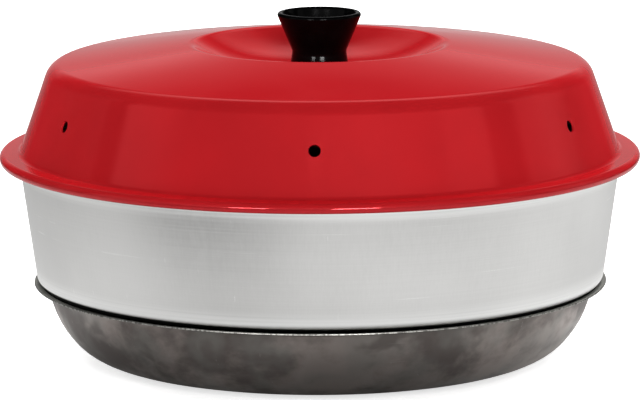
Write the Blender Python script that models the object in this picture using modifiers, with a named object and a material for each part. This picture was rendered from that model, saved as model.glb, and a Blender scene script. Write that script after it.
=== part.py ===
# Stovetop camp oven: a steel base pan, an aluminium ring pot with a chimney, and a vented lid with a knob.
# Metres, +Z up. The origin is on the oven's axis, at the underside of the base pan.

import math

import bmesh
import bpy
from mathutils import Matrix, Vector

# Fits
SEAT_GAP = 0.0003  # between two pieces that rest on each other
SCREW_GAP = 0.0003  # around the screw and around the insert
LIFT_CLEARANCE = 0.0012  # between the pot's rim and the lid's turned-down lip
CUT_OVERRUN = 0.002  # how far a cutter runs past what it cuts

# Lid
LID_DIAMETER = 0.2506  # over the brim, the widest size of the oven
LID_SHEET = 0.0008
BRIM_WIDTH = 0.00795  # from the foot of the wall to the widest point
BRIM_FILLET = 0.0020
LIP_RADIUS = 0.0022
LIP_SWEEP = math.radians(142)
LID_WALL_TILT = math.radians(19.07)
SHOULDER_ROUND = 0.0075
CROWN_SLOPE = math.radians(7.9)
CREST_RADIUS = 0.050  # of the ring where the crown turns down into the dish
CREST_HEIGHT = 0.0418  # above the brim
CREST_ROUND = 0.0050
DISH_DEPTH = 0.0113
DISH_SLOPE = math.radians(30)
DISH_SEAT_MARGIN = 0.0027  # of flat dish floor around the knob's foot
VENT_COUNT = 6
VENT_DIAMETER = 0.0045
VENT_HEIGHT = 0.0176  # above the brim
FIRST_VENT_ANGLE = math.radians(-91)

# Knob and what fastens it
KNOB_HEIGHT = 0.0230
KNOB_TOP_RADIUS = 0.01635
KNOB_STEM_RADIUS = 0.01065
KNOB_STEM_HEIGHT = 0.0077
KNOB_NECK_ROUND = 0.0050
KNOB_BAND = 0.0012  # upright band around the top
KNOB_LIP_WIDTH = 0.0029
KNOB_LIP_ROUND = 0.0010
KNOB_CUP_FLOOR_RADIUS = 0.0100
KNOB_CUP_ROUND = 0.0025
KNOB_WEB = 0.0047  # between the cup's floor and the insert's pocket
INSERT_WALL = 0.0017
INSERT_LENGTH = 0.0090
INSERT_GROOVE_DEPTH = 0.0006
INSERT_GROOVE_WIDTH = 0.0030
SCREW_RADIUS = 0.0025
SCREW_TIP_SETBACK = 0.0017  # of the screw's tip below the insert's top
SCREW_CHAMFER = 0.0005
SCREW_HEAD_RADIUS = 0.0047
SCREW_HEAD_HEIGHT = 0.0030
SCREW_HEAD_ROUND = 0.0020
RECESS_LENGTH = 0.0052
RECESS_WIDTH = 0.0011
RECESS_DEPTH = 0.0016
WASHER_RADIUS = 0.0075
WASHER_THICKNESS = 0.0010

# Ring pot
POT_SHEET = 0.0008
POT_HEIGHT = 0.05084
POT_WALL_TILT = math.radians(8)
POT_CORNER_ROUND = 0.0040
RIM_WIDTH = 0.00483  # from the wall to the outside of the curled rim
RIM_BEND = 0.0010
RIM_CURL_RADIUS = 0.0017
RIM_SWEEP = math.radians(135)
CHIMNEY_TOP_RADIUS = 0.0175
CHIMNEY_FOOT_RADIUS = 0.0340
CHIMNEY_HEIGHT = 0.0486
CHIMNEY_FILLET = 0.0055

# Base pan
PAN_SHEET = 0.0006
PAN_DEPTH = 0.03105
FLANGE_SLOPE = math.radians(10)
SEAT_TO_RIM = 0.00418  # along the flange's width, from where the pot rests outwards
SEAT_TO_WALL = 0.00087  # and inwards
FLANGE_BEND = 0.0010
PAN_WALL_LEAN = math.radians(16.9)
PAN_WAIST_HEIGHT = 0.0163  # where the upper wall would meet the lower one
PAN_WAIST_LEAN = math.radians(39.6)
PAN_WAIST_ROUND = 0.0365
PAN_SIDE_WIDTH = 0.0322  # from the top of the wall in to the flat bottom
PAN_SIDE_ROUND = 0.0231
PAN_FOOT_SLOPE = math.radians(10.9)
PAN_FOOT_ROUND = 0.0510
COLLAR_FOOT_RADIUS = 0.0360
COLLAR_TOP_RADIUS = 0.0250
COLLAR_HEIGHT = 0.0140
COLLAR_FILLET = 0.0040

# Fineness of the turned shapes
SHEET_SEGMENTS = 48
KNOB_SEGMENTS = 32
FASTENER_SEGMENTS = 24
VENT_SIDES = 12
WIDEST_ARC_STEP = math.radians(27)
CHORD_ERROR = 0.00014  # between an arc and its straight steps
MERGE_DISTANCE = 0.00001
SMOOTH_BELOW = math.radians(38)
FILLET_SHARE = 0.999  # of a straight run that its two fillets may take


def clear_scene():
    for obj in list(bpy.data.objects):
        bpy.data.objects.remove(obj)


def new_collection(name):
    collection = bpy.data.collections.new(name)
    bpy.context.scene.collection.children.link(collection)
    return collection


def new_material(name, colour, metallic, roughness):
    material = bpy.data.materials.new(name)
    material.use_nodes = True
    shader = material.node_tree.nodes["Principled BSDF"]
    shader.inputs["Base Color"].default_value = (*colour, 1)
    shader.inputs["Metallic"].default_value = metallic
    shader.inputs["Roughness"].default_value = roughness
    material.diffuse_color = (*colour, 1)
    return material


def arc(centre, radius, start, end):
    # An arc in the plane of a profile, whose points are (distance from the axis, height).
    step = min(WIDEST_ARC_STEP, 2 * math.acos(1 - CHORD_ERROR / max(radius, CHORD_ERROR)))
    steps = max(2, math.ceil(abs(end - start) / step))
    angles = [start + (end - start) * i / steps for i in range(steps + 1)]
    return [(centre[0] + radius * math.cos(a), centre[1] + radius * math.sin(a)) for a in angles]


def rounded(corners):
    # A profile through corners (distance from the axis, height, fillet), with an arc at each fillet.
    places = [Vector(corner[:2]) for corner in corners]
    runs = [after - before for before, after in zip(places, places[1:])]
    turns = [before.angle_signed(after) for before, after in zip(runs, runs[1:])]
    reaches = [corner[2] * math.tan(abs(turn) / 2) for corner, turn in zip(corners[1:-1], turns)]
    reaches = [0.0, *reaches, 0.0]
    limits = [1.0] * len(reaches)
    for i, run in enumerate(runs):
        wanted = reaches[i] + reaches[i + 1]
        if wanted > run.length * FILLET_SHARE:
            limit = run.length * FILLET_SHARE / wanted
            limits[i] = min(limits[i], limit)
            limits[i + 1] = min(limits[i + 1], limit)
    points = [tuple(places[0])]
    for i, turn in enumerate(turns, 1):
        reach = reaches[i] * limits[i]
        if reach == 0:
            points.append(tuple(places[i]))
            continue
        radius = reach / math.tan(abs(turn) / 2)
        way_in = runs[i - 1].normalized()
        # angle_signed is positive for a clockwise turn, whose centre lies to the right of the path.
        side = Vector((way_in.y, -way_in.x)) * math.copysign(1, turn)
        centre = places[i] - way_in * reach + side * radius
        start = math.atan2(-side.y, -side.x)
        points += arc(centre, radius, start, start - turn)
    return [*points, tuple(places[-1])]


def turned(name, profile, segments, closed=False):
    # An object with the profile turned about its Z axis. The profile runs down its outer side.
    count = len(profile)
    edges = [(i, (i + 1) % count) for i in range(count if closed else count - 1)]
    mesh = bpy.data.meshes.new(name)
    mesh.from_pydata([(out, 0, up) for out, up in profile], edges, [])
    obj = bpy.data.objects.new(name, mesh)
    screw = obj.modifiers.new("Turn", "SCREW")
    screw.axis = "Z"
    screw.steps = segments
    screw.render_steps = segments
    screw.use_merge_vertices = True
    screw.merge_threshold = MERGE_DISTANCE
    return obj


def add_sheet(obj, thickness):
    # The profile is the outer face of the sheet, and the thickness goes inwards.
    solidify = obj.modifiers.new("Sheet", "SOLIDIFY")
    solidify.thickness = thickness
    solidify.offset = -1
    solidify.use_even_offset = True


def place(obj, parent, height, collection):
    obj.parent = parent
    obj.location.z = height
    collection.objects.link(obj)


def cut(obj, cutter, collection):
    cutter.hide_render = True
    cutter.display_type = "WIRE"
    collection.objects.link(cutter)
    boolean = obj.modifiers.new("Cut", "BOOLEAN")
    boolean.operation = "DIFFERENCE"
    boolean.object = cutter


def finish(obj, material):
    # Turns the modifiers' result into the object's own mesh and shades its round faces smooth.
    bpy.context.view_layer.update()
    graph = bpy.context.evaluated_depsgraph_get()
    mesh = bpy.data.meshes.new_from_object(obj.evaluated_get(graph))
    obj.modifiers.clear()
    obj.data = mesh
    mesh.name = obj.name
    mesh.shade_smooth()
    mesh.set_sharp_from_angle(angle=SMOOTH_BELOW)
    mesh.materials.clear()
    mesh.materials.append(material)


# Places that more than one piece shares

lid_radius = LID_DIAMETER / 2
lip_centre = lid_radius - LIP_RADIUS
lip_end = math.pi / 2 - LIP_SWEEP
lip_mouth = lip_centre + (LIP_RADIUS - LID_SHEET) * math.cos(lip_end)

rim_radius = lip_mouth - LIFT_CLEARANCE
pot_mouth_radius = rim_radius - RIM_WIDTH
pot_foot_radius = pot_mouth_radius - POT_HEIGHT * math.tan(POT_WALL_TILT)

# The pot rests with its rounded corner on the pan's sloping flange.
corner_inset = POT_CORNER_ROUND * (1 - math.sin(POT_WALL_TILT)) / math.cos(POT_WALL_TILT)
seat_reach = POT_CORNER_ROUND + SEAT_GAP
seat_radius = pot_foot_radius - corner_inset + seat_reach * math.sin(FLANGE_SLOPE)
seat_height = PAN_DEPTH - SEAT_TO_RIM * math.tan(FLANGE_SLOPE)
pot_base = seat_height + seat_reach * math.cos(FLANGE_SLOPE) - POT_CORNER_ROUND

lid_base = pot_base + POT_HEIGHT + SEAT_GAP
brim_top = LID_SHEET
crest_top = brim_top + CREST_HEIGHT
dish_floor = crest_top - DISH_DEPTH
wall_foot_radius = lid_radius - BRIM_WIDTH

bore_radius = SCREW_RADIUS + SCREW_GAP
insert_radius = bore_radius + INSERT_WALL
knob_base = dish_floor + SEAT_GAP
washer_base = dish_floor - LID_SHEET - SEAT_GAP - WASHER_THICKNESS
screw_base = washer_base - SEAT_GAP


def make_base_pan(material, parent, collection):
    # The sheet's lower face, from the rim in to the raised collar around the flame hole.
    underside = Vector((math.sin(FLANGE_SLOPE), -math.cos(FLANGE_SLOPE))) * PAN_SHEET
    rim = Vector((seat_radius + SEAT_TO_RIM, PAN_DEPTH)) + underside
    wall_top = Vector((seat_radius - SEAT_TO_WALL, seat_height - SEAT_TO_WALL * math.tan(FLANGE_SLOPE)))
    wall_top += underside
    flat_radius = wall_top.x - PAN_SIDE_WIDTH
    # The steep upper wall turns at the waist into the lower one, which meets the shallow foot at the
    # knuckle. A large round replaces each of these corners.
    waist_radius = wall_top.x - (wall_top.y - PAN_WAIST_HEIGHT) * math.tan(PAN_WALL_LEAN)
    lean = math.tan(PAN_WAIST_LEAN)
    foot = math.tan(PAN_FOOT_SLOPE)
    knuckle_height = (waist_radius - PAN_WAIST_HEIGHT * lean - flat_radius) * foot / (1 - lean * foot)
    knuckle_radius = flat_radius + knuckle_height / foot
    profile = rounded([
        (rim.x, rim.y, 0),
        (wall_top.x, wall_top.y, FLANGE_BEND),
        (waist_radius, PAN_WAIST_HEIGHT, PAN_WAIST_ROUND),
        (knuckle_radius, knuckle_height, PAN_SIDE_ROUND),
        (flat_radius, 0, PAN_FOOT_ROUND),
        (COLLAR_FOOT_RADIUS, 0, COLLAR_FILLET),
        (COLLAR_TOP_RADIUS, COLLAR_HEIGHT, 0),
    ])
    pan = turned("base_pan", profile, SHEET_SEGMENTS)
    add_sheet(pan, PAN_SHEET)
    place(pan, parent, 0, collection)
    finish(pan, material)


def make_food_container(material, parent, collection):
    # The sheet's outer face, from the curled rim down the wall, under the floor and up the chimney.
    curl_radius = RIM_CURL_RADIUS - POT_SHEET
    curl_centre = (rim_radius - RIM_CURL_RADIUS, POT_HEIGHT - RIM_CURL_RADIUS)
    shelf = POT_HEIGHT - POT_SHEET
    shelf_start = pot_mouth_radius - POT_SHEET * math.tan(POT_WALL_TILT)
    curl = arc(curl_centre, curl_radius, math.pi / 2 - RIM_SWEEP, math.pi / 2)
    profile = curl[:-1] + rounded([
        (curl_centre[0], shelf, 0),
        (shelf_start, shelf, RIM_BEND),
        (pot_foot_radius, 0, POT_CORNER_ROUND),
        (CHIMNEY_FOOT_RADIUS, 0, CHIMNEY_FILLET),
        (CHIMNEY_TOP_RADIUS, CHIMNEY_HEIGHT, 0),
    ])
    pot = turned("food_container", profile, SHEET_SEGMENTS)
    add_sheet(pot, POT_SHEET)
    place(pot, parent, 0, collection)
    finish(pot, material)


def make_vent_cutter(parent):
    # One rod across the wall for each vent.
    mesh = bpy.data.meshes.new("vent_cutter")
    rods = bmesh.new()
    vent_radius = wall_foot_radius - VENT_HEIGHT * math.tan(LID_WALL_TILT)
    rod_length = 2 * (LID_SHEET + CUT_OVERRUN)
    for i in range(VENT_COUNT):
        angle = FIRST_VENT_ANGLE + 2 * math.pi * i / VENT_COUNT
        turn = Matrix.Rotation(angle, 4, "Z")
        out = Matrix.Translation((vent_radius, 0, brim_top + VENT_HEIGHT))
        across = Matrix.Rotation(math.pi / 2 - LID_WALL_TILT, 4, "Y")
        bmesh.ops.create_cone(
            rods,
            cap_ends=True,
            segments=VENT_SIDES,
            radius1=VENT_DIAMETER / 2,
            radius2=VENT_DIAMETER / 2,
            depth=rod_length,
            matrix=turn @ out @ across,
        )
    rods.to_mesh(mesh)
    rods.free()
    cutter = bpy.data.objects.new("vent_cutter", mesh)
    cutter.parent = parent
    return cutter


def make_lid_shell(material, parent, collection, cutters):
    # The sheet's upper face, from the screw hole over the dish, crest and crown to the lip.
    crown = math.tan(CROWN_SLOPE)
    wall = math.tan(LID_WALL_TILT)
    shoulder_radius = wall_foot_radius - (CREST_HEIGHT + CREST_RADIUS * crown) * wall
    shoulder_radius /= 1 - crown * wall
    shoulder_height = crest_top - (shoulder_radius - CREST_RADIUS) * crown
    dish_radius = CREST_RADIUS - DISH_DEPTH / math.tan(DISH_SLOPE)
    dish_seat_radius = KNOB_STEM_RADIUS + DISH_SEAT_MARGIN
    dish_round = (dish_radius - dish_seat_radius) / math.tan(DISH_SLOPE / 2)
    lip = arc((lip_centre, brim_top - LIP_RADIUS), LIP_RADIUS, math.pi / 2, lip_end)
    profile = rounded([
        (bore_radius, dish_floor, 0),
        (dish_radius, dish_floor, dish_round),
        (CREST_RADIUS, crest_top, CREST_ROUND),
        (shoulder_radius, shoulder_height, SHOULDER_ROUND),
        (wall_foot_radius, brim_top, BRIM_FILLET),
        (lip_centre, brim_top, 0),
    ]) + lip[1:]
    lid = turned("lid_shell", profile, SHEET_SEGMENTS)
    add_sheet(lid, LID_SHEET)
    place(lid, parent, 0, collection)
    cut(lid, make_vent_cutter(parent), cutters)
    finish(lid, material)


def make_knob(material, parent, collection):
    # From the middle of the cup over the lip and down the flare to the foot, then up the insert's pocket.
    pocket = insert_radius + SCREW_GAP
    ridge = pocket - INSERT_GROOVE_DEPTH
    ridge_half = INSERT_GROOVE_WIDTH / 2 - SCREW_GAP
    ridge_bottom = INSERT_LENGTH / 2 - ridge_half
    ridge_top = INSERT_LENGTH / 2 + ridge_half
    pocket_top = INSERT_LENGTH + SCREW_GAP
    cup_floor = pocket_top + KNOB_WEB
    profile = rounded([
        (0, cup_floor, 0),
        (KNOB_CUP_FLOOR_RADIUS, cup_floor, KNOB_CUP_ROUND),
        (KNOB_TOP_RADIUS - KNOB_LIP_WIDTH, KNOB_HEIGHT, KNOB_LIP_ROUND),
        (KNOB_TOP_RADIUS, KNOB_HEIGHT, KNOB_LIP_ROUND),
        (KNOB_TOP_RADIUS, KNOB_HEIGHT - KNOB_BAND, 0),
        (KNOB_STEM_RADIUS, KNOB_STEM_HEIGHT, KNOB_NECK_ROUND),
        (KNOB_STEM_RADIUS, 0, 0),
        (pocket, 0, 0),
        (pocket, ridge_bottom - INSERT_GROOVE_DEPTH, 0),
        (ridge, ridge_bottom, 0),
        (ridge, ridge_top, 0),
        (pocket, ridge_top + INSERT_GROOVE_DEPTH, 0),
        (pocket, pocket_top, 0),
        (0, pocket_top, 0),
    ])
    knob = turned("knob", profile, KNOB_SEGMENTS)
    place(knob, parent, knob_base, collection)
    finish(knob, material)


def make_knob_insert(material, parent, collection):
    # A threaded bush with a groove around its middle, which the knob is moulded into.
    groove = insert_radius - INSERT_GROOVE_DEPTH
    groove_bottom = (INSERT_LENGTH - INSERT_GROOVE_WIDTH) / 2
    groove_top = (INSERT_LENGTH + INSERT_GROOVE_WIDTH) / 2
    profile = [
        (bore_radius, INSERT_LENGTH),
        (insert_radius, INSERT_LENGTH),
        (insert_radius, groove_top + INSERT_GROOVE_DEPTH),
        (groove, groove_top),
        (groove, groove_bottom),
        (insert_radius, groove_bottom - INSERT_GROOVE_DEPTH),
        (insert_radius, 0),
        (bore_radius, 0),
    ]
    insert = turned("knob_insert", profile, FASTENER_SEGMENTS, closed=True)
    place(insert, parent, knob_base, collection)
    finish(insert, material)


def make_screw_washer(material, parent, collection):
    profile = [
        (bore_radius, WASHER_THICKNESS),
        (WASHER_RADIUS, WASHER_THICKNESS),
        (WASHER_RADIUS, 0),
        (bore_radius, 0),
    ]
    washer = turned("screw_washer", profile, FASTENER_SEGMENTS, closed=True)
    place(washer, parent, washer_base, collection)
    finish(washer, material)


def make_recess_cutter(parent, height, along):
    # One bar of the cross in the screw's head.
    size = (RECESS_LENGTH, RECESS_WIDTH) if along == "X" else (RECESS_WIDTH, RECESS_LENGTH)
    mesh = bpy.data.meshes.new("recess_cutter")
    bar = bmesh.new()
    bmesh.ops.create_cube(bar, size=1)
    bmesh.ops.scale(bar, vec=(*size, 2 * RECESS_DEPTH), verts=bar.verts)
    bar.to_mesh(mesh)
    bar.free()
    cutter = bpy.data.objects.new("recess_cutter_" + along.lower(), mesh)
    cutter.parent = parent
    cutter.location.z = height
    return cutter


def make_knob_screw(material, parent, collection, cutters):
    # A pan-head screw that stands head down, its shank up through the lid into the insert.
    tip = knob_base + INSERT_LENGTH - SCREW_TIP_SETBACK - screw_base
    profile = rounded([
        (0, tip, 0),
        (SCREW_RADIUS - SCREW_CHAMFER, tip, 0),
        (SCREW_RADIUS, tip - SCREW_CHAMFER, 0),
        (SCREW_RADIUS, 0, 0),
        (SCREW_HEAD_RADIUS, 0, 0),
        (SCREW_HEAD_RADIUS, -SCREW_HEAD_HEIGHT, SCREW_HEAD_ROUND),
        (0, -SCREW_HEAD_HEIGHT, 0),
    ])
    screw = turned("knob_screw", profile, FASTENER_SEGMENTS)
    place(screw, parent, screw_base, collection)
    for along in ("X", "Y"):
        cut(screw, make_recess_cutter(parent, screw_base - SCREW_HEAD_HEIGHT, along), cutters)
    finish(screw, material)


def new_carrier(name, parent, height, collection):
    # An empty on the oven's axis, which the pieces that lift together hang from.
    carrier = bpy.data.objects.new(name, None)
    collection.objects.link(carrier)
    carrier.parent = parent
    carrier.location.z = height
    return carrier


def main():
    clear_scene()
    oven = new_collection("stovetop_camp_oven")
    cutters = new_collection("cutters")

    stained_steel = new_material("stained_steel", (0.14, 0.13, 0.12), 0.9, 0.45)
    brushed_aluminium = new_material("brushed_aluminium", (0.72, 0.72, 0.72), 1.0, 0.35)
    red_paint = new_material("red_paint", (0.52, 0.012, 0.02), 0.0, 0.25)
    black_phenolic = new_material("black_phenolic", (0.004, 0.004, 0.004), 0.0, 0.15)
    brass = new_material("brass", (0.65, 0.45, 0.16), 1.0, 0.3)
    zinc_steel = new_material("zinc_steel", (0.6, 0.6, 0.58), 1.0, 0.3)

    base = new_carrier("base", None, 0, oven)
    container_lift = new_carrier("container_lift", base, pot_base, oven)
    lid_lift = new_carrier("lid_lift", container_lift, lid_base - pot_base, oven)

    make_base_pan(stained_steel, base, oven)
    make_food_container(brushed_aluminium, container_lift, oven)
    make_lid_shell(red_paint, lid_lift, oven, cutters)
    make_knob(black_phenolic, lid_lift, oven)
    make_knob_insert(brass, lid_lift, oven)
    make_screw_washer(zinc_steel, lid_lift, oven)
    make_knob_screw(zinc_steel, lid_lift, oven, cutters)


main()
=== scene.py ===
import math

import bmesh
import bpy
from mathutils import Matrix, Vector


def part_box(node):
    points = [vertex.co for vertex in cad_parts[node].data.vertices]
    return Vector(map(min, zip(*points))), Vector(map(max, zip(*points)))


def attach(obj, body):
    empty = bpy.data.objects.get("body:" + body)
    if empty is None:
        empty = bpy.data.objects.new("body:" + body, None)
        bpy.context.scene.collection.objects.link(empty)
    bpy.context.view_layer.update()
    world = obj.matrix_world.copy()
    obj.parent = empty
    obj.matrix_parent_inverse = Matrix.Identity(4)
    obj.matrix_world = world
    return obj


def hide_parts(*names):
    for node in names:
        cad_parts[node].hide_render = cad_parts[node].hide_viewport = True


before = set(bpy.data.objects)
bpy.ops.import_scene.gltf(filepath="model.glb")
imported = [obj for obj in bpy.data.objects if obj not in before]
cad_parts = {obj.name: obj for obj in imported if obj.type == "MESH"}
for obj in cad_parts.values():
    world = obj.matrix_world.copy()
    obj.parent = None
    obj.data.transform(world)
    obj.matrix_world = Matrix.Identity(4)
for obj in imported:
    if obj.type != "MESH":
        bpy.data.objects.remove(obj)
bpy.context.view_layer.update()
print("frame loaded:", ", ".join(sorted(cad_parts)))

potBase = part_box("food_container")[0].z
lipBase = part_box("lid_shell")[0].z
fullTurn = 2 * math.pi
fine = {
    "turnSteps": 160,
    "smallSteps": 72,
    "threadSteps": 32,
    "arcStep": math.radians(6),
    "weld": 1e-6,
    "crease": math.radians(35),
    "edgeFrom": math.radians(60),
    "edgeSteps": 2,
}


# Shapes

def drawTo(shape, tip, place):
    # Draws one straight edge from the tip of the wire to the place.
    if (tip.co - place).length < fine["weld"]:
        return tip
    drawn = bmesh.ops.extrude_vert_indiv(shape, verts=[tip])
    drawn["verts"][0].co = place
    return drawn["verts"][0]


def traceProfile(shape, corners):
    # Draws a wire through corners (out, up, fillet) in the XZ plane, and turns an arc at each fillet.
    places = [Vector((out, 0, up)) for out, up, fillet in corners]
    tip = shape.verts.new(places[0])
    for i in range(1, len(corners) - 1):
        wayIn = (places[i] - places[i - 1]).normalized()
        wayOut = (places[i + 1] - places[i]).normalized()
        turn = wayIn.angle(wayOut)
        fillet = corners[i][2]
        tip = drawTo(shape, tip, places[i] - wayIn * fillet * math.tan(turn / 2))
        if fillet and turn > 0:
            centre = places[i] + (wayOut - wayIn).normalized() * fillet / math.cos(turn / 2)
            steps = max(2, math.ceil(turn / fine["arcStep"]))
            swept = bmesh.ops.spin(
                shape, geom=[tip], cent=centre, axis=wayIn.cross(wayOut), angle=turn, steps=steps
            )
            tip = swept["geom_last"][0]
    return drawTo(shape, tip, places[-1])


def curlOn(shape, tip, centre, sweep):
    # Carries the wire on around a centre (out, up) in the XZ plane, clockwise from the front.
    steps = math.ceil(abs(sweep) / fine["arcStep"])
    swept = bmesh.ops.spin(
        shape, geom=[tip], cent=(centre[0], 0, centre[1]), axis=(0, 1, 0), angle=sweep, steps=steps
    )
    return swept["geom_last"][0]


def latheShape(shape, steps):
    # Spins the wire about the oven's axis and closes the seam and the pole.
    bmesh.ops.spin(
        shape,
        geom=shape.verts[:] + shape.edges[:],
        cent=(0, 0, 0),
        axis=(0, 0, 1),
        angle=fullTurn,
        steps=steps,
        use_merge=True,
    )
    bmesh.ops.remove_doubles(shape, verts=shape.verts[:], dist=fine["weld"])


def newPiece(name, shape, height=0):
    # Makes an object at the origin, with its place in its mesh.
    bmesh.ops.translate(shape, verts=shape.verts[:], vec=(0, 0, height))
    bmesh.ops.recalc_face_normals(shape, faces=shape.faces[:])
    mesh = bpy.data.meshes.new(name)
    shape.to_mesh(mesh)
    shape.free()
    piece = bpy.data.objects.new(name, mesh)
    bpy.context.scene.collection.objects.link(piece)
    return piece


def giveThickness(piece, thickness, offset=-1, otherSlot=0):
    # The new face and the rim may wear another finish.
    sheet = piece.modifiers.new("sheet", "SOLIDIFY")
    sheet.thickness = thickness
    sheet.offset = offset
    sheet.use_even_offset = True
    sheet.material_offset = otherSlot
    sheet.material_offset_rim = otherSlot


def roundEdges(piece, width):
    # Breaks the sheet's sharp edges.
    edges = piece.modifiers.new("edges", "BEVEL")
    edges.width = width
    edges.segments = fine["edgeSteps"]
    edges.limit_method = "ANGLE"
    edges.angle_limit = fine["edgeFrom"]


def joinShape(piece, other, operation="UNION"):
    # Adds another piece's shape, or cuts with it.
    join = piece.modifiers.new("join", "BOOLEAN")
    join.operation = operation
    join.object = other
    join.use_self = True


def settleMesh(piece):
    # Puts what the modifiers made into the piece's own mesh, smooth apart from its creases.
    bpy.context.view_layer.update()
    graph = bpy.context.evaluated_depsgraph_get()
    mesh = bpy.data.meshes.new_from_object(piece.evaluated_get(graph))
    piece.modifiers.clear()
    piece.data = mesh
    mesh.name = piece.name
    mesh.shade_smooth()
    mesh.set_sharp_from_angle(angle=fine["crease"])


def dressPiece(piece, node, body):
    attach(piece, body)
    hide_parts(node)


# Finishes

evenSpan = (0.3, 0.7)  # most of a noise's values lie between these
ringSkew = 0.6  # turning rings change slowly along X and this much of Y


def startFinish(name):
    material = bpy.data.materials.new(name)
    material.use_nodes = True
    return material, material.node_tree, material.node_tree.nodes["Principled BSDF"]


def addNode(tree, kind, inputs=None, **settings):
    node = tree.nodes.new(kind)
    for key, value in settings.items():
        setattr(node, key, value)
    for key, value in (inputs or {}).items():
        if isinstance(value, bpy.types.NodeSocket):
            tree.links.new(value, node.inputs[key])
        else:
            node.inputs[key].default_value = value
    return node


def sums(tree, operation, first, second):
    made = addNode(tree, "ShaderNodeMath", {0: first, 1: second}, operation=operation)
    return made.outputs["Value"]


def times(tree, first, second):
    return sums(tree, "MULTIPLY", first, second)


def splitPlace(tree, source="Object"):
    # The coordinates X, Y and Z, each by itself.
    place = addNode(tree, "ShaderNodeTexCoord")
    return addNode(tree, "ShaderNodeSeparateXYZ", {"Vector": place.outputs[source]}).outputs


def around(tree):
    # Distance from the oven's axis, and height.
    place = splitPlace(tree)
    flat = addNode(tree, "ShaderNodeCombineXYZ", {"X": place["X"], "Y": place["Y"]})
    length = addNode(tree, "ShaderNodeVectorMath", {0: flat.outputs["Vector"]}, operation="LENGTH")
    return length.outputs["Value"], place["Z"]


def objectPlace(tree, scale=(1, 1, 1), turn=(0, 0, 0)):
    # Object coordinates, stretched or turned for one pattern.
    place = addNode(tree, "ShaderNodeTexCoord")
    mapped = addNode(
        tree, "ShaderNodeMapping", {"Vector": place.outputs["Object"], "Scale": scale, "Rotation": turn}
    )
    return mapped.outputs["Vector"]


def turnedPlace(tree, pitch, wander):
    # Rings about the oven's axis, on walls and floors alike, that change slowly on their way round.
    place = splitPlace(tree)
    out, up = around(tree)
    aside = sums(tree, "ADD", place["X"], times(tree, place["Y"], ringSkew))
    rings = {"X": times(tree, out, pitch), "Y": times(tree, up, pitch), "Z": times(tree, aside, wander)}
    return addNode(tree, "ShaderNodeCombineXYZ", rings).outputs["Vector"]


def noise(tree, vector, scale, detail=2.0, roughness=0.5, distortion=0.0):
    made = addNode(
        tree,
        "ShaderNodeTexNoise",
        {"Vector": vector, "Scale": scale, "Detail": detail, "Roughness": roughness, "Distortion": distortion},
    )
    return made.outputs["Fac"]


def remap(tree, value, low, high, toLow=0.0, toHigh=1.0, kind="SMOOTHSTEP"):
    made = addNode(
        tree,
        "ShaderNodeMapRange",
        {"Value": value, "From Min": low, "From Max": high, "To Min": toLow, "To Max": toHigh},
        interpolation_type=kind,
    )
    return made.outputs["Result"]


def mixLevels(tree, share, first, second):
    return addNode(tree, "ShaderNodeMix", {0: share, 2: first, 3: second}).outputs[0]


def mixColours(tree, share, first, second):
    made = addNode(tree, "ShaderNodeMix", data_type="RGBA")
    tree.links.new(share, made.inputs[0])
    for index, value in ((6, first), (7, second)):
        if isinstance(value, bpy.types.NodeSocket):
            tree.links.new(value, made.inputs[index])
        else:
            made.inputs[index].default_value = (*value, 1)
    return made.outputs[2]


def coat(tree, shader, tone, rough, metallic):
    tree.links.new(tone, shader.inputs["Base Color"])
    tree.links.new(rough, shader.inputs["Roughness"])
    shader.inputs["Metallic"].default_value = metallic


def addBump(tree, shader, height, depth):
    bump = addNode(tree, "ShaderNodeBump", {"Height": height, "Distance": depth})
    tree.links.new(bump.outputs["Normal"], shader.inputs["Normal"])


# In the dictionaries below, a pattern is a noise's scale and detail, then its roughness and distortion,
# a stretch is the pattern's scale along X, Y and Z, rings are their pitch and how much they change on the way,
# and a span says where a pattern starts and where it is full.

def redLacquer():
    look = {
        "deep": (0.49, 0.0125, 0.0165),
        "bright": (0.55, 0.0138, 0.0182),
        "cloud": (24, 3),
        "rough": (0.075, 0.115),
        "roughCloud": (60, 4),
        "peel": (420, 2),
        "peelDepth": 0.000004,
        "paintedEdgeLight": (0.72, 0.0160, 0.0230),
        "paintedEdgeLightSpan": (0.5, 0.85),
        "paintedLipShade": (0.38, 0.0130, 0.0170),
        "lipShadeUp": (lipBase + 0.0016, lipBase + 0.0030),
        "shine": (1.0, 0.35, 0.37, 1),
        "metallic": 0.2,
    }
    material, tree, shader = startFinish("redLacquer")
    cloud = noise(tree, objectPlace(tree), *look["cloud"])
    tone = mixColours(tree, remap(tree, cloud, *evenSpan), look["deep"], look["bright"])
    # Painted light: seen edge-on, the lacquer's red is brightened by the facing weight.
    facing = addNode(tree, "ShaderNodeLayerWeight").outputs["Facing"]
    tone = mixColours(tree, remap(tree, facing, *look["paintedEdgeLightSpan"]), tone, look["paintedEdgeLight"])
    # Painted shade: under the lip the lacquer is darkened, by height.
    under = remap(tree, around(tree)[1], *look["lipShadeUp"], 1.0, 0.0)
    tone = mixColours(tree, under, tone, look["paintedLipShade"])
    rough = remap(tree, noise(tree, objectPlace(tree), *look["roughCloud"]), *evenSpan, *look["rough"])
    coat(tree, shader, tone, rough, look["metallic"])
    addBump(tree, shader, noise(tree, objectPlace(tree), *look["peel"]), look["peelDepth"])
    shader.inputs["Specular Tint"].default_value = look["shine"]
    return material


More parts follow.
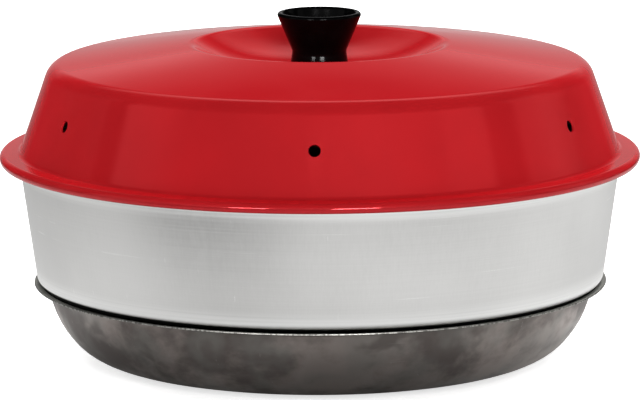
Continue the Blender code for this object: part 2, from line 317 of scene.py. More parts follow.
def spunAluminium():
    look = {
        "dull": (0.588, 0.585, 0.574),
        "clean": (0.676, 0.673, 0.662),
        "cloud": (18, 4),
        "rough": (0.30, 0.42),
        "grainStretch": (1400, 1400, 25),
        "rings": (1500, 8),
        "grain": (1, 4, 0.6),
        "grainDepth": 0.000005,
        "brushed": 0.6,
        # turning marks, and scuffs that cross them
        "streak": (0.80, 0.80, 0.79),
        "streakShare": 0.6,
        "streakRough": 0.22,
        "scratch": (1, 2),
        "markRings": (2600, 18),
        "markSpan": (0.66, 0.74),
        "scuffStretch": (900, 900, 60),
        "scuffTurn": (0.5, 0.2, 0),
        "scuffSpan": (0.70, 0.76),
        "patches": (45, 2),
        "patchSpan": (0.5, 0.62),
        # painted sheen: bright bands at the top and the foot of the wall, by height
        "paintedSheen": (0.80, 0.80, 0.79),
        "sheenTop": (0.0725, 0.0765),
        "sheenFoot": (0.0340, 0.0400),
        "sheenRough": 0.12,
        "sheenRings": (0.3, 0.6, 0.5, 1.0),
        # soot and painted shade at the foot of the wall, by height and by distance from the axis
        "sootAndShade": (0.010, 0.010, 0.010),
        "darkUp": (potBase + 0.0016, potBase + 0.0023),
        "darkOut": (0.100, 0.106),
        "darkTilt": 0.004,
    }
    material, tree, shader = startFinish("spunAluminium")
    grain = noise(tree, objectPlace(tree, look["grainStretch"]), *look["grain"])
    rings = noise(tree, turnedPlace(tree, *look["rings"]), *look["grain"])
    cloud = noise(tree, objectPlace(tree), *look["cloud"])
    both = times(tree, sums(tree, "ADD", grain, rings), 0.5)
    shade = times(tree, sums(tree, "ADD", both, cloud), 0.5)
    tone = mixColours(tree, remap(tree, shade, *evenSpan), look["dull"], look["clean"])
    # Turning marks and handling scratches show in patches.
    marks = remap(tree, noise(tree, turnedPlace(tree, *look["markRings"]), *look["scratch"]), *look["markSpan"])
    scuffs = noise(tree, objectPlace(tree, look["scuffStretch"], look["scuffTurn"]), *look["scratch"])
    scuffs = remap(tree, scuffs, *look["scuffSpan"])
    patches = remap(tree, noise(tree, objectPlace(tree), *look["patches"]), *look["patchSpan"])
    worn = times(tree, times(tree, sums(tree, "MAXIMUM", marks, scuffs), patches), look["streakShare"])
    tone = mixColours(tree, worn, tone, look["streak"])
    out, up = around(tree)
    # Painted sheen: the wall is lighter and rougher in bands at its top and its foot.
    paintedSheen = sums(tree, "MAXIMUM", remap(tree, up, *look["sheenTop"]), remap(tree, up, *look["sheenFoot"], 1.0, 0.0))
    paintedSheen = times(tree, paintedSheen, remap(tree, rings, *look["sheenRings"]))
    tone = mixColours(tree, paintedSheen, tone, look["paintedSheen"])
    # The painted shade and soot reach a little higher on the left.
    line = sums(tree, "ADD", up, times(tree, splitPlace(tree)["X"], look["darkTilt"]))
    sootAndShade = times(tree, remap(tree, line, *look["darkUp"], 1.0, 0.0), remap(tree, out, *look["darkOut"]))
    tone = mixColours(tree, sootAndShade, tone, look["sootAndShade"])
    rough = mixLevels(tree, worn, remap(tree, both, *evenSpan, *look["rough"]), look["streakRough"])
    rough = sums(tree, "ADD", rough, times(tree, paintedSheen, look["sheenRough"]))
    coat(tree, shader, tone, rough, 1.0)
    addBump(tree, shader, both, look["grainDepth"])
    shader.inputs["Anisotropic"].default_value = look["brushed"]
    tangent = addNode(tree, "ShaderNodeTangent", direction_type="RADIAL", axis="Z")
    tree.links.new(tangent.outputs["Tangent"], shader.inputs["Tangent"])
    return material


def bareInside():
    look = {
        "dull": (0.52, 0.52, 0.51),
        "clean": (0.64, 0.64, 0.63),
        "cloud": (30, 4),
        "rough": (0.34, 0.46),
        "rings": (900, 10),
        "ring": (1, 4, 0.6),
        "ringDepth": 0.000006,
    }
    material, tree, shader = startFinish("bareInside")
    rings = noise(tree, turnedPlace(tree, *look["rings"]), *look["ring"])
    cloud = noise(tree, objectPlace(tree), *look["cloud"])
    tone = mixColours(tree, remap(tree, cloud, *evenSpan), look["dull"], look["clean"])
    coat(tree, shader, tone, remap(tree, rings, *evenSpan, *look["rough"]), 1.0)
    addBump(tree, shader, rings, look["ringDepth"])
    return material


def stainedSteel():
    look = {
        "dark": (0.127, 0.109, 0.101),
        "pale": (0.345, 0.301, 0.278),
        "smudgeStretch": (1, 1, 1.3),
        "smudges": (34, 5, 0.55, 0.1),
        "smudgeSpan": (0.38, 0.62),
        "blotStretch": (1, 1, 1.2),
        "blots": (52, 3, 0.5, 0.3),
        "blotSpan": (0.56, 0.68),
        "blotShare": 0.7,
        "green": (0.235, 0.232, 0.215),
        "tint": (52, 3),
        "tintSpan": (0.42, 0.62),
        "tintShare": 0.45,
        "rough": (0.52, 0.34),
        "roughSpan": (0.35, 0.65),
        "grain": (900, 3),
        "grainDepth": 0.000004,
        "metallic": 0.9,
        # fine scratches
        "bare": (0.50, 0.47, 0.44),
        "bareShare": 0.4,
        "scratch": (1, 2),
        "scratchRings": (1800, 12),
        "ringSpan": (0.68, 0.76),
        "crossStretch": (700, 700, 40),
        "crossTurn": (0.7, 0.3, 0),
        "crossSpan": (0.69, 0.77),
        "patches": (60, 2),
        "patchSpan": (0.5, 0.65),
        # the flange, outwards: soot with painted shade, then worn steel, then the dark edge with painted glints
        "sootAndShade": (0.012, 0.012, 0.012),
        "darkOut": (0.1072, 0.1077),
        "darkEnd": (0.1091, 0.1097),
        "worn": (0.70, 0.70, 0.65),
        "rim": (0.14, 0.135, 0.126),
        "edge": (0.11200, 0.11222),
        "glintStretch": (1, 1, 0.2),
        "paintedGlints": (800, 2),
        "glintSpan": (0.42, 0.62, 0.5, 1.0),
    }
    material, tree, shader = startFinish("stainedSteel")
    out = around(tree)[0]
    smudges = noise(tree, objectPlace(tree, look["smudgeStretch"]), *look["smudges"])
    blots = remap(tree, noise(tree, objectPlace(tree, look["blotStretch"]), *look["blots"]), *look["blotSpan"])
    tint = remap(tree, noise(tree, objectPlace(tree), *look["tint"]), *look["tintSpan"])
    tone = mixColours(tree, remap(tree, smudges, *look["smudgeSpan"]), look["dark"], look["pale"])
    tone = mixColours(tree, times(tree, tint, look["tintShare"]), tone, look["green"])
    tone = mixColours(tree, times(tree, blots, look["blotShare"]), tone, look["dark"])
    # The scratches run round the pan and across it, in patches.
    rings = remap(tree, noise(tree, turnedPlace(tree, *look["scratchRings"]), *look["scratch"]), *look["ringSpan"])
    across = noise(tree, objectPlace(tree, look["crossStretch"], look["crossTurn"]), *look["scratch"])
    across = remap(tree, across, *look["crossSpan"])
    patches = remap(tree, noise(tree, objectPlace(tree), *look["patches"]), *look["patchSpan"])
    bare = times(tree, sums(tree, "MAXIMUM", rings, across), times(tree, patches, look["bareShare"]))
    tone = mixColours(tree, bare, tone, look["bare"])
    # Soot and painted shade darken the flange where it goes under the pot.
    sootAndShade = times(tree, remap(tree, out, *look["darkOut"]), remap(tree, out, *look["darkEnd"], 1.0, 0.0))
    tone = mixColours(tree, remap(tree, out, *look["darkEnd"]), tone, look["worn"])
    tone = mixColours(tree, sootAndShade, tone, look["sootAndShade"])
    # Painted glints: noise lets the worn steel show through the dark edge in bright spots.
    paintedGlints = noise(tree, objectPlace(tree, look["glintStretch"]), *look["paintedGlints"])
    paintedGlints = times(tree, remap(tree, out, *look["edge"]), remap(tree, paintedGlints, *look["glintSpan"]))
    tone = mixColours(tree, paintedGlints, tone, look["rim"])
    coat(tree, shader, tone, remap(tree, smudges, *look["roughSpan"], *look["rough"]), look["metallic"])
    addBump(tree, shader, noise(tree, objectPlace(tree), *look["grain"]), look["grainDepth"])
    return material


def blackPhenolic():
    look = {
        "black": (0.0006, 0.0006, 0.0007),
        "grey": (0.0014, 0.0014, 0.0016),
        "cloud": (180, 4),
        "rough": (0.08, 0.14),
        "shine": 0.06,
    }
    material, tree, shader = startFinish("blackPhenolic")
    cloud = noise(tree, objectPlace(tree), *look["cloud"])
    tone = mixColours(tree, remap(tree, cloud, *evenSpan), look["black"], look["grey"])
    coat(tree, shader, tone, remap(tree, cloud, *evenSpan, *look["rough"]), 0.0)
    shader.inputs["Specular IOR Level"].default_value = look["shine"]
    return material


def fastenerMetal(name, dull, clean):
    look = {"cloud": (900, 4), "rough": (0.25, 0.4)}
    material, tree, shader = startFinish(name)
    cloud = noise(tree, objectPlace(tree), *look["cloud"])
    tone = mixColours(tree, remap(tree, cloud, *evenSpan), dull, clean)
    coat(tree, shader, tone, remap(tree, cloud, *evenSpan, *look["rough"]), 1.0)
    return material


lacquer = redLacquer()
aluminium = spunAluminium()
inside = bareInside()
steel = stainedSteel()
phenolic = blackPhenolic()
brass = fastenerMetal("brass", dull=(0.50, 0.33, 0.11), clean=(0.68, 0.48, 0.19))
zinc = fastenerMetal("zincPlate", dull=(0.48, 0.48, 0.47), clean=(0.66, 0.66, 0.63))
print("finishes made")


# Base pan

pan = {
    "sheet": 0.0006,
    "edge": 0.00012,
    "rim": (0.11234, 0.03046),  # lower edge of the flange, outermost
    "wallTop": (0.10729, 0.02957),  # where the side meets the flange
    "waist": 0.0163,  # height at which the side leans in more
    "wallLean": math.radians(16.9),
    "lowerLean": math.radians(39.6),
    "sideWidth": 0.0322,  # from the flat foot out to the flange
    "footSlope": math.radians(10.9),
    "collarFoot": 0.0360,
    "collarTop": (0.0250, 0.0140),
    "flangeRound": 0.0010,
    "waistRound": 0.0365,
    "sideRound": 0.0231,
    "footRound": 0.0510,
    "collarRound": 0.0040,
}


def makePan():
    flat = pan["wallTop"][0] - pan["sideWidth"]
    waistOut = pan["wallTop"][0] - (pan["wallTop"][1] - pan["waist"]) * math.tan(pan["wallLean"])
    lower = math.tan(pan["lowerLean"])
    foot = math.tan(pan["footSlope"])
    knuckleUp = (waistOut - pan["waist"] * lower - flat) * foot / (1 - lower * foot)
    shape = bmesh.new()
    traceProfile(shape, [
        (*pan["rim"], 0),
        (*pan["wallTop"], pan["flangeRound"]),
        (waistOut, pan["waist"], pan["waistRound"]),
        (flat + knuckleUp / foot, knuckleUp, pan["sideRound"]),
        (flat, 0, pan["footRound"]),
        (pan["collarFoot"], 0, pan["collarRound"]),
        (*pan["collarTop"], 0),
    ])
    latheShape(shape, fine["turnSteps"])
    piece = newPiece("stainedPan", shape)
    piece.data.materials.append(steel)
    giveThickness(piece, pan["sheet"], offset=1)
    roundEdges(piece, pan["edge"])
    settleMesh(piece)
    dressPiece(piece, "base_pan", "base")


# Ring pot

pot = {
    "sheet": 0.0008,
    "edge": 0.00018,
    "height": 0.05084,
    "foot": 0.11079,
    "cornerRound": 0.0040,
    "wallTilt": math.radians(8),
    "rimBend": 0.0010,
    "rim": 0.12276,
    "curl": 0.0017,  # the rolled rim's radius
    "curlSweep": math.radians(135),
    "chimneyTop": (0.0175, 0.0486),
    "chimneyFoot": 0.0340,
    "chimneyRound": 0.0055,
}


def makePot():
    shelf = pot["height"] - pot["sheet"]
    curlCentre = (pot["rim"] - pot["curl"], pot["height"] - pot["curl"])
    shape = bmesh.new()
    tip = traceProfile(shape, [
        (*pot["chimneyTop"], 0),
        (pot["chimneyFoot"], 0, pot["chimneyRound"]),
        (pot["foot"], 0, pot["cornerRound"]),
        (pot["foot"] + shelf * math.tan(pot["wallTilt"]), shelf, pot["rimBend"]),
        (curlCentre[0], shelf, 0),
    ])
    curlOn(shape, tip, curlCentre, pot["curlSweep"])
    latheShape(shape, fine["turnSteps"])
    piece = newPiece("spunPot", shape, potBase)
    piece.data.materials.append(inside)
    piece.data.materials.append(aluminium)
    giveThickness(piece, pot["sheet"], offset=1, otherSlot=1)
    roundEdges(piece, pot["edge"])
    settleMesh(piece)
    dressPiece(piece, "food_container", "container")


# Lid

lid = {
    "sheet": 0.0008,
    "edge": 0.00018,
    "wallFoot": 0.11735,
    "wallTilt": math.radians(19.07),
    "brimRound": 0.0020,
    "lip": 0.0022,  # the rolled lip's radius
    "lipCentre": 0.12309,
    "lipSweep": math.radians(142),
    "crest": (0.0500, 0.0426),
    "crestRound": 0.0050,
    "crownSlope": math.radians(7.9),  # the crown falls outwards from the crest
    "shoulderRound": 0.0075,
    "dishFloor": 0.0313,
    "dishSlope": math.radians(30),
    "dishSeat": 0.01335,  # radius of the flat that the knob stands on
    "hole": 0.0028,
    "ventCount": 6,
    "vent": 0.00225,  # radius
    "ventUp": 0.0184,
    "firstVent": math.radians(-91),  # the one nearest to the camera
    "ventEdge": 0.0004,
    "ventRod": 0.003,
}
seatGap = 0.0003  # between a piece and the one that it rests on
lidBase = potBase + pot["height"] + seatGap


def cutVents(piece):
    # A rod goes through the wall at each vent, and flares where it leaves the painted side.
    rods = bmesh.new()
    ventOut = lid["wallFoot"] - (lid["ventUp"] - lid["sheet"]) * math.tan(lid["wallTilt"])
    for i in range(lid["ventCount"]):
        rod = bmesh.new()
        traceProfile(rod, [
            (0, -lid["ventRod"], 0),
            (lid["vent"], -lid["ventRod"], 0),
            (lid["vent"], -lid["ventEdge"], 0),
            (lid["vent"] + lid["ventEdge"] / 2, 0, lid["ventEdge"]),
            (lid["vent"] + lid["ventEdge"] * 2, lid["ventEdge"], 0),
            (0, lid["ventEdge"], 0),
        ])
        latheShape(rod, fine["smallSteps"] // 2)
        turn = Matrix.Rotation(lid["firstVent"] + fullTurn * i / lid["ventCount"], 4, "Z")
        out = Matrix.Translation((ventOut, 0, lidBase + lid["ventUp"]))
        across = Matrix.Rotation(math.pi / 2 - lid["wallTilt"], 4, "Y")
        bmesh.ops.transform(rod, matrix=turn @ out @ across, verts=rod.verts[:])
        held = bpy.data.meshes.new("rod")
        rod.to_mesh(held)
        rod.free()
        rods.from_mesh(held)
        bpy.data.meshes.remove(held)
    cutter = newPiece("ventCutter", rods)
    joinShape(piece, cutter, "DIFFERENCE")
    return cutter


def makeLid():
    crown = math.tan(lid["crownSlope"])
    wall = math.tan(lid["wallTilt"])
    crestOut, crestUp = lid["crest"]
    brimUp = lid["sheet"]
    shoulderOut = (lid["wallFoot"] - (crestUp - brimUp + crestOut * crown) * wall) / (1 - crown * wall)
    dishOut = crestOut - (crestUp - lid["dishFloor"]) / math.tan(lid["dishSlope"])
    shape = bmesh.new()
    tip = traceProfile(shape, [
        (lid["hole"], lid["dishFloor"], 0),
        (dishOut, lid["dishFloor"], (dishOut - lid["dishSeat"]) / math.tan(lid["dishSlope"] / 2)),
        (crestOut, crestUp, lid["crestRound"]),
        (shoulderOut, crestUp - (shoulderOut - crestOut) * crown, lid["shoulderRound"]),
        (lid["wallFoot"], brimUp, lid["brimRound"]),
        (lid["lipCentre"], brimUp, 0),
    ])
    curlOn(shape, tip, (lid["lipCentre"], brimUp - lid["lip"]), lid["lipSweep"])
    latheShape(shape, fine["turnSteps"])
    piece = newPiece("lacqueredLid", shape, lidBase)
    piece.data.materials.append(lacquer)
    piece.data.materials.append(inside)
    giveThickness(piece, lid["sheet"], otherSlot=1)
    roundEdges(piece, lid["edge"])
    cutter = cutVents(piece)
    settleMesh(piece)
    bpy.data.objects.remove(cutter)
    dressPiece(piece, "lid_shell", "lid")


# Knob and its fastening

knob = {
    "height": 0.0230,
    "top": 0.01635,
    "stem": 0.01065,
    "stemUp": 0.0080,
    "neckRound": 0.0030,
    "flareUp": 0.0070,
    "flareRound": 0.0040,
    "flare": 0.0011,
    "band": 0.0012,
    "lipWidth": 0.0021,
    "lipRound": 0.0010,
    "cupFloor": 0.0128,  # radius of the finger cup's floor
    "cupRound": 0.0025,
    "cupUp": 0.0140,
    "pocket": 0.0048,  # radius of the pocket that holds the insert
    "ridge": 0.0042,
    "ridgeHalf": 0.0012,
    "pocketUp": 0.0093,
}
thread = {
    "pitch": 0.0008,
    "root": 0.00206,
    "crest": 0.0025,
    "rootHalf": 0.00028,
    "crestHalf": 0.00005,
    "gap": 0.00006,
}
insert = {"out": 0.0045, "length": 0.0090, "groove": 0.0006, "grooveWidth": 0.0030, "edge": 0.0003}
screw = {
    "shank": 0.0025,
    "plain": 0.0008,
    "tipUp": 0.0101,
    "chamfer": 0.0005,
    "head": 0.0047,
    "headDown": 0.0030,
    "headRound": 0.0020,
    "recess": (0.0052, 0.0011, 0.0016),  # the cross: length, width and depth
}
washer = {"bore": 0.0028, "out": 0.0075, "thick": 0.0010, "edge": 0.00025}
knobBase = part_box("knob")[0].z
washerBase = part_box("screw_washer")[0].z
screwBase = washerBase - seatGap
ridgeHalves = (thread["rootHalf"], thread["crestHalf"])


def makeKnob():
    middle = insert["length"] / 2
    shape = bmesh.new()
    traceProfile(shape, [
        (0, knob["cupUp"], 0),
        (knob["cupFloor"], knob["cupUp"], knob["cupRound"]),
        (knob["top"] - knob["lipWidth"], knob["height"], knob["lipRound"]),
        (knob["top"], knob["height"], knob["lipRound"]),
        (knob["top"], knob["height"] - knob["band"], 0),
        (knob["stem"], knob["stemUp"], knob["neckRound"]),
        (knob["stem"], knob["flareUp"], knob["flareRound"]),
        (knob["stem"] + knob["flare"], 0, 0),
        (knob["pocket"], 0, 0),
        (knob["pocket"], middle - knob["ridgeHalf"] - insert["groove"], 0),
        (knob["ridge"], middle - knob["ridgeHalf"], 0),
        (knob["ridge"], middle + knob["ridgeHalf"], 0),
        (knob["pocket"], middle + knob["ridgeHalf"] + insert["groove"], 0),
        (knob["pocket"], knob["pocketUp"], 0),
        (0, knob["pocketUp"], 0),
    ])
    latheShape(shape, fine["smallSteps"])
    piece = newPiece("mouldedKnob", shape, knobBase)
    piece.data.materials.append(phenolic)
    settleMesh(piece)
    dressPiece(piece, "knob", "lid")


def windThread(name, outs, halves, low, high, place):
    # Winds a ridge about the axis: outs and halves give its foot and its crest.
    turns = round((high - low) / thread["pitch"])
    shape = bmesh.new()
    corners = [
        shape.verts.new((out, 0, low + half))
        for out, half in ((outs[0], -halves[0]), (outs[1], -halves[1]), (outs[1], halves[1]), (outs[0], halves[0]))
    ]
    edges = [shape.edges.new((corners[i - 1], corners[i])) for i in range(len(corners))]
    steps = fine["threadSteps"]
    bmesh.ops.spin(
        shape, geom=corners + edges, cent=(0, 0, 0), axis=(0, 0, 1), dvec=(0, 0, thread["pitch"] / steps),
        angle=fullTurn * turns, steps=steps * turns,
    )
    ends = [edge for edge in shape.edges if edge.is_boundary]
    bmesh.ops.holes_fill(shape, edges=ends, sides=4)
    return newPiece(name, shape, place)


def makeInsert():
    low = (insert["length"] - insert["grooveWidth"]) / 2
    high = (insert["length"] + insert["grooveWidth"]) / 2
    bore = thread["crest"] + thread["gap"]
    shape = bmesh.new()
    traceProfile(shape, [
        (bore, insert["length"] - insert["edge"], 0),
        (bore + insert["edge"], insert["length"], 0),
        (insert["out"], insert["length"], 0),
        (insert["out"], high + insert["groove"], 0),
        (insert["out"] - insert["groove"], high, 0),
        (insert["out"] - insert["groove"], low, 0),
        (insert["out"], low - insert["groove"], 0),
        (insert["out"], 0, 0),
        (bore + insert["edge"], 0, 0),
        (bore, insert["edge"], 0),
        (bore, insert["length"] - insert["edge"], 0),
    ])
    latheShape(shape, fine["smallSteps"])
    piece = newPiece("brassInsert", shape, knobBase)
    piece.data.materials.append(brass)
    # The insert's ridge runs half a pitch off the screw's, from the first turn inside the bore.
    start = screwBase - knobBase + screw["plain"] + thread["pitch"] / 2
    start += thread["pitch"] * math.ceil(-start / thread["pitch"] + 1)
    ridge = windThread(
        "insertThread", (bore + thread["gap"], thread["root"] + thread["gap"]), ridgeHalves,
        start, insert["length"] - insert["edge"] - thread["pitch"], knobBase,
    )
    joinShape(piece, ridge)
    settleMesh(piece)
    bpy.data.objects.remove(ridge)
    dressPiece(piece, "knob_insert", "lid")


def makeWasher():
    edge = washer["edge"]
    shape = bmesh.new()
    traceProfile(shape, [
        (washer["bore"], washer["thick"], 0),
        (washer["out"], washer["thick"], edge),
        (washer["out"], 0, edge),
        (washer["bore"], 0, 0),
        (washer["bore"], washer["thick"], 0),
    ])
    latheShape(shape, fine["smallSteps"])
    piece = newPiece("flatWasher", shape, washerBase)
    piece.data.materials.append(zinc)
    settleMesh(piece)
    dressPiece(piece, "screw_washer", "lid")


def makeScrew():
    tip = screw["tipUp"]
    root = thread["root"]
    shape = bmesh.new()
    traceProfile(shape, [
        (0, tip, 0),
        (root - screw["chamfer"], tip, 0),
        (root, tip - screw["chamfer"], 0),
        (root, screw["plain"], 0),
        (screw["shank"], screw["plain"] - screw["chamfer"], 0),
        (screw["shank"], 0, 0),
        (screw["head"], 0, 0),
        (screw["head"], -screw["headDown"], screw["headRound"]),
        (0, -screw["headDown"], 0),
    ])
    latheShape(shape, fine["smallSteps"])
    piece = newPiece("panHeadScrew", shape, screwBase)
    piece.data.materials.append(zinc)
    ridge = windThread(
        "screwThread", (root - thread["gap"], thread["crest"]), ridgeHalves,
        screw["plain"], tip - screw["chamfer"] - thread["rootHalf"], screwBase,
    )
    joinShape(piece, ridge)
    long, narrow, deep = screw["recess"]
    cross = bmesh.new()
    for size in ((long, narrow), (narrow, long)):
        bar = bmesh.ops.create_cube(cross, size=1)
        bmesh.ops.scale(cross, vec=(*size, 2 * deep), verts=bar["verts"])
        bmesh.ops.translate(cross, vec=(0, 0, -screw["headDown"]), verts=bar["verts"])
    cutter = newPiece("crossCutter", cross, screwBase)
    joinShape(piece, cutter, "DIFFERENCE")
    settleMesh(piece)
    bpy.data.objects.remove(cutter)
    bpy.data.objects.remove(ridge)
    dressPiece(piece, "knob_screw", "lid")


makePan()
print("pan made")
makePot()
print("pot made")
makeLid()
print("lid made")
makeKnob()
makeInsert()
makeWasher()
makeScrew()
print("knob and its fastening made")


# Floor, lamps and camera

studio = {
    "floorWidth": 14.0,
    "floorUp": -0.0002,
    "floorWhite": 0.80,
    "floorLift": 0.68,  # the glow that the camera adds to the paper under the oven
    "liftSpan": (0.6, 2.5),  # where that glow rises to full white, from the axis
    "ambient": 0.31,
    "lampAim": 0.07,  # the height that the lamps look at
}
# What a mirror sees round the oven. Each row goes at even steps from the back over the picture's left,
# the camera's side and the picture's right. These are the room's walls, by elevation in degrees
room = {
    0: (0.0, 0.0, 0.05, 0.10, 0.20, 0.40, 0.60, 0.70, 0.70, 0.60, 0.45, 0.25, 0.10, 0.05, 0.05, 0.0),
    12: (0.0, 0.0, 0.0, 0.0, 0.0, 0.25, 0.50, 0.60, 0.60, 0.40, 0.20, 0.0, 0.0, 0.0, 0.0, 0.0),
    25: (0.0, 0.0, 0.0, 0.0, 0.0, 0.02, 0.02, 0.19, 0.26, 0.55, 0.22, 0.0, 0.0, 0.02, 0.0, 0.0),
    40: (0.0, 0.0, 0.0, 0.0, 0.0, 0.0, 0.05, 0.05, 0.05, 0.05, 0.0, 0.0, 0.0, 0.0, 0.0, 0.0),
    60: (0.0,),
}
# Painted light on the floor for mirror rays, by distance from the axis, with painted shadow where the oven stands
# over it
paintedFloorLight = {
    0.07: (0.0,),
    0.13: (1.0, 1.0, 1.1, 1.2, 1.1, 0.52, 0.33, 0.38, 0.20, 0.27, 0.58, 0.96, 1.25, 1.35, 1.25, 1.0),
    0.18: (0.66, 0.78, 0.85, 0.98, 0.98, 1.02, 1.04, 0.90, 1.10, 1.13, 1.03, 1.14, 1.04, 0.86, 0.66, 0.64),
    0.30: (0.60, 0.60, 0.73, 0.74, 0.68, 0.82, 0.06, 0.40, 0.75, 0.76, 0.82, 1.04, 1.04, 1.20, 0.75, 0.60),
}
farFloor = (0.5, 0.9)  # over this distance the floor's painted glow gives way to a painted shine of the wall behind
# White panels at the sides with dark gaps between them, by share of a turn, and the elevations where they fade
panels = (
    (0.0, 0.0), (0.150, 0.0), (0.190, 0.06), (0.219, 0.12), (0.225, 0.0), (0.249, 0.0),
    (0.255, 0.45), (0.30, 0.4), (0.34, 0.15), (0.64, 0.15), (0.66, 0.40), (0.704, 0.45),
    (0.710, 0.0), (0.747, 0.0), (0.753, 0.25), (0.80, 0.35), (0.845, 0.0), (1.0, 0.0),
)
panelTop = (28, 38)
# The white wall behind the set: its bands from the low elevation to the high one, and how far it goes round
backWall = {
    "low": -10,
    "high": 60,
    "rise": (
        (0.0, 0.5), (0.186, 0.38), (0.30, 0.30), (0.336, 0.45), (0.414, 0.18), (0.50, 0.02),
        (0.54, 0.0), (0.67, 0.75), (0.80, 0.75), (0.92, 0.0), (1.0, 0.0),
    ),
    "side": (
        (0.0, 1.0), (0.022, 1.0), (0.050, 0.5), (0.083, 0.0),
        (0.910, 0.0), (0.945, 0.5), (0.978, 1.0), (1.0, 1.0),
    ),
}


def between(tree, value, low, high, toLow=0.0, toHigh=1.0):
    return remap(tree, value, low, high, toLow, toHigh, kind="LINEAR")


def heading(tree, place):
    # Share of a turn, from the back over the picture's left.
    turned = sums(tree, "ARCTAN2", place["X"], times(tree, place["Y"], -1.0))
    return sums(tree, "ADD", sums(tree, "DIVIDE", turned, fullTurn), 0.5)


def ramped(tree, value, stops):
    ramp = addNode(tree, "ShaderNodeValToRGB", {"Fac": value})
    ramp.color_ramp.interpolation = "LINEAR"
    marks = ramp.color_ramp.elements
    for place, level in stops[1:-1]:
        marks.new(place)
    for mark, (place, level) in zip(marks, stops):
        mark.position = place
        mark.color = (level, level, level, 1)
    return ramp.outputs["Color"]


def levels(tree, share, row):
    return ramped(tree, share, [(i / len(row), level) for i, level in enumerate((*row, row[0]))])


def layered(tree, value, share, rows):
    # Goes from one row's levels to the next as the value passes from key to key.
    keys = sorted(rows)
    level = levels(tree, share, rows[keys[0]])
    for before, after in zip(keys, keys[1:]):
        level = mixLevels(tree, between(tree, value, before, after), level, levels(tree, share, rows[after]))
    return level


def mixShaders(tree, share, first, second):
    return addNode(tree, "ShaderNodeMixShader", {0: share, 1: first, 2: second}).outputs["Shader"]


def seenPlainly(tree):
    # The camera's own rays, also through a clear thing, and a mirror's rays.
    path = addNode(tree, "ShaderNodeLightPath").outputs
    return sums(tree, "MAXIMUM", path["Is Camera Ray"], path["Is Transmission Ray"]), path["Is Glossy Ray"]


def makeFloor():
    shape = bmesh.new()
    bmesh.ops.create_grid(shape, x_segments=1, y_segments=1, size=studio["floorWidth"] / 2)
    floor = newPiece("paleFloor", shape, studio["floorUp"])
    material, tree, shader = startFinish("palePaper")
    shader.inputs["Base Color"].default_value = (studio["floorWhite"],) * 3 + (1,)
    shader.inputs["Roughness"].default_value = 1.0
    shader.inputs["Specular IOR Level"].default_value = 0.0
    # Camera rays see plain white paper with the oven's shadow. Mirror rays see a painted glow instead, as the
    # panels would light it, with painted shadow under the oven.
    out = around(tree)[0]
    share = heading(tree, splitPlace(tree))
    wallShine = times(tree, ramped(tree, share, backWall["side"]), backWall["rise"][0][1])
    near = layered(tree, out, share, paintedFloorLight)
    lit = mixLevels(tree, between(tree, out, *farFloor), near, wallShine)
    glow = addNode(tree, "ShaderNodeEmission", {"Strength": lit})
    white = between(tree, out, *studio["liftSpan"], studio["floorLift"], 1.0)
    paper = addNode(tree, "ShaderNodeEmission", {"Strength": white})
    lifted = addNode(tree, "ShaderNodeAddShader", {0: shader.outputs["BSDF"], 1: paper.outputs["Emission"]})
    seen, inMirror = seenPlainly(tree)
    plain = mixShaders(tree, seen, shader.outputs["BSDF"], lifted.outputs["Shader"])
    mirrored = mixShaders(tree, inMirror, plain, glow.outputs["Emission"])
    tree.links.new(mirrored, tree.nodes["Material Output"].inputs["Surface"])
    floor.data.materials.append(material)


def makeWorld():
    world = bpy.data.worlds.new("whiteStudio")
    bpy.context.scene.world = world
    world.use_nodes = True
    tree = world.node_tree
    place = splitPlace(tree, "Generated")
    elevation = times(tree, sums(tree, "ARCSINE", place["Z"], 0.0), math.degrees(1))
    share = heading(tree, place)
    height = between(tree, elevation, backWall["low"], backWall["high"])
    wall = times(tree, ramped(tree, height, backWall["rise"]), ramped(tree, share, backWall["side"]))
    beside = times(tree, ramped(tree, share, panels), between(tree, elevation, *panelTop, 1.0, 0.0))
    mirrored = sums(tree, "ADD", layered(tree, elevation, share, room), sums(tree, "ADD", wall, beside))
    seen, inMirror = seenPlainly(tree)
    level = mixLevels(tree, seen, mixLevels(tree, inMirror, studio["ambient"], mirrored), 1.0)
    background = tree.nodes["Background"]
    tree.links.new(level, background.inputs["Strength"])
    background.inputs["Color"].default_value = (1, 1, 1, 1)


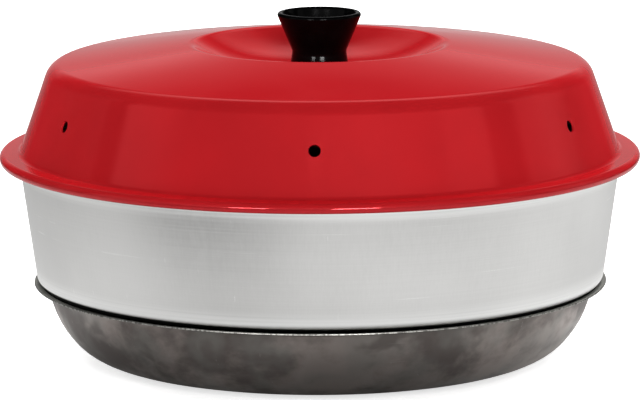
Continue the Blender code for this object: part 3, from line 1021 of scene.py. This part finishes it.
# Each lamp stands at an azimuth and an elevation in degrees and at a distance. Azimuth 0 is the camera's side
# and 90 the picture's right. The windows are there to be mirrored, and the others to light.
lamps = {
    "leftWindow": {"at": (-24.5, 8, 2.6), "size": (0.6, 0.17), "power": 19, "lights": False},
    "rightWindow": {"at": (12, 8, 2.6), "size": (0.7, 0.17), "power": 35, "lights": False},
    "frontPanel": {"at": (5, 20, 2.6), "size": (0.8, 0.8), "power": 41, "mirrored": False},
    "backLeft": {"at": (-150, 45, 2.2), "size": (1.2, 1.2), "power": 24, "mirrored": False},
    "backRight": {"at": (150, 45, 2.2), "size": (1.2, 1.2), "power": 30, "mirrored": False},
    "leftSide": {"at": (-125, 12, 2.2), "size": (0.8, 0.8), "power": 20, "mirrored": False},
    "rightSide": {"at": (125, 12, 2.2), "size": (0.8, 0.8), "power": 21, "mirrored": False},
}


def addSoftbox(name, at, size, power, mirrored=True, lights=True):
    lamp = bpy.data.lights.new(name, "AREA")
    lamp.shape = "RECTANGLE"
    lamp.size, lamp.size_y = size
    lamp.energy = power
    softbox = bpy.data.objects.new(name, lamp)
    bpy.context.scene.collection.objects.link(softbox)
    azimuth, elevation, distance = at
    across, rise = math.radians(azimuth), math.radians(elevation)
    away = Vector((math.sin(across) * math.cos(rise), -math.cos(across) * math.cos(rise), math.sin(rise)))
    softbox.location = Vector((0, 0, studio["lampAim"])) + away * distance
    softbox.rotation_euler = away.to_track_quat("Z", "Y").to_euler()
    softbox.visible_glossy = mirrored
    softbox.visible_diffuse = lights


camera = {
    "away": 2.0,
    "height": 0.4184,
    "aim": 0.06176,  # the height that it looks at
    "roll": math.radians(-0.25),
    "lens": 291.2,
    "sensor": 36.0,
    "farthest": 100.0,
}


def makeCamera():
    lens = bpy.data.cameras.new("pictureCamera")
    lens.lens = camera["lens"]
    lens.sensor_width = camera["sensor"]
    lens.clip_end = camera["farthest"]
    holder = bpy.data.objects.new("pictureCamera", lens)
    bpy.context.scene.collection.objects.link(holder)
    place = Vector((0, -camera["away"], camera["height"]))
    look = (Vector((0, 0, camera["aim"])) - place).to_track_quat("-Z", "Y")
    holder.location = place
    holder.rotation_euler = (look.to_matrix() @ Matrix.Rotation(camera["roll"], 3, "Z")).to_euler()
    bpy.context.scene.camera = holder


makeFloor()
makeWorld()
for name, given in lamps.items():
    addSoftbox(name, **given)
makeCamera()
bpy.context.scene.view_settings.view_transform = "Standard"
print("studio made")
